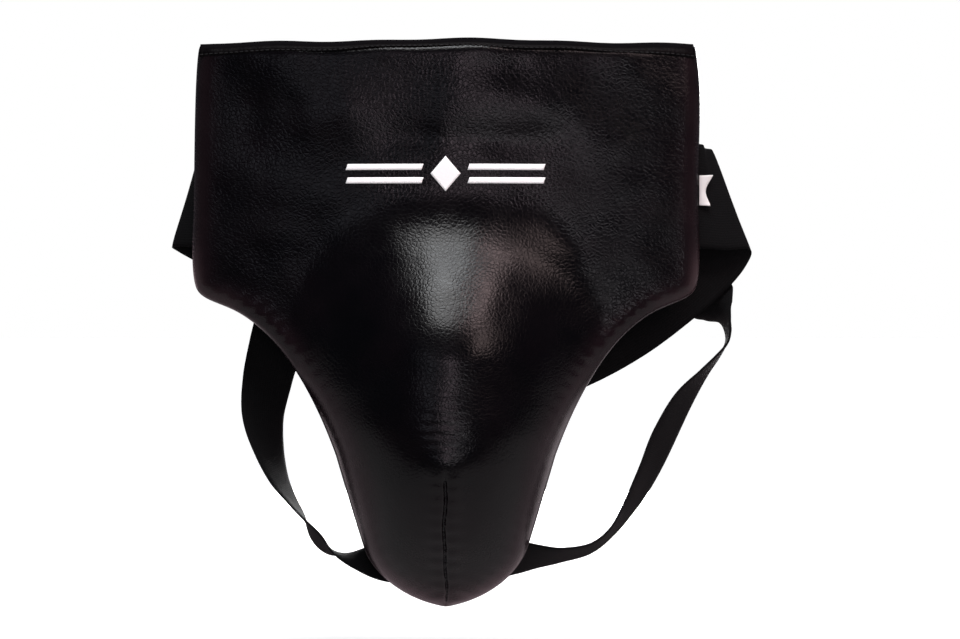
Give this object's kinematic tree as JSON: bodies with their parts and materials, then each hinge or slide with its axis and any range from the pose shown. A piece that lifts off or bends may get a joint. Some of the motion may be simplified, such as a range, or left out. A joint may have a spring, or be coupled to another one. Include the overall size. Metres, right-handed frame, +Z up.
{
  "type": "groin protector",
  "caption": "Padded groin guard with a domed cup pouch narrowing to a rounded nose, hung from an elastic waistband with elastic leg straps.",
  "frame": {"origin": "middle of the lining at the height of the waistband, where the guard meets the wearer", "axes": "+Z up, +Y towards the wearer (the guard's front faces -Y), +X to the right as seen from the front"},
  "size_m": [0.3363, 0.1118, 0.323],
  "materials": {
    "cover_leather": "black pebbled synthetic leather, satin",
    "facing_leather": "black synthetic leather, matte",
    "black_thread": "black sewing thread",
    "white_print": "white screen print",
    "foam": "closed-cell foam",
    "cup_plastic": "moulded polypropylene",
    "liner_fabric": "soft knit over thin foam",
    "lining_fabric": "black woven lining",
    "elastic": "black woven elastic, matte",
    "white_satin": "white satin"
  },
  "bodies": {
    "guard": {"front_cover": "cover_leather", "dart_stitching": "black_thread", "top_binding": "facing_leather", "top_stitching": "black_thread", "print_mark": "white_print", "belly_foam": "foam", "cup_foam": "foam", "nose_foam": "foam", "cup_shell": "cup_plastic", "cup_liner": "liner_fabric", "back_lining": "lining_fabric", "waistband_left_side": "elastic", "waistband_right_side": "elastic", "side_seam_stitching": "black_thread", "leg_strap_left_top": "elastic", "leg_strap_right_top": "elastic", "leg_strap_stitching": "black_thread", "crotch_tab": "elastic", "anchor_patch": "facing_leather", "anchor_stitching": "black_thread"},
    "waistband": {"waistband_back": "elastic", "center_back_stitching": "black_thread"},
    "leg_strap_left": {"leg_strap_left": "elastic"},
    "leg_strap_right": {"leg_strap_right": "elastic"},
    "care_label": {"care_label": "white_satin"}
  },
  "joints": [
    {"name": "waistband_swing", "type": "hinge", "parent": "guard", "child": "waistband", "pos_m": [-0.036, 0.0315, -0.038], "axis": [0.9995, 0, 0.0305], "range_deg": [0, 90]},
    {"name": "leg_strap_left_swing", "type": "hinge", "parent": "guard", "child": "leg_strap_left", "pos_m": [-0.081, 0.0346, -0.074], "axis": [0.4729, -0.1957, -0.8591], "range_deg": [0, 60]},
    {"name": "leg_strap_right_swing", "type": "hinge", "parent": "guard", "child": "leg_strap_right", "pos_m": [0.0155, 0.0075, -0.193], "axis": [0.6739, 0.1609, 0.7211], "range_deg": [0, 60]},
    {"name": "care_label_flap", "type": "hinge", "parent": "guard", "child": "care_label", "pos_m": [0.146, 0.0165, 0.0022], "axis": [0, 0, -1], "range_deg": [0, 80]}
  ]
}
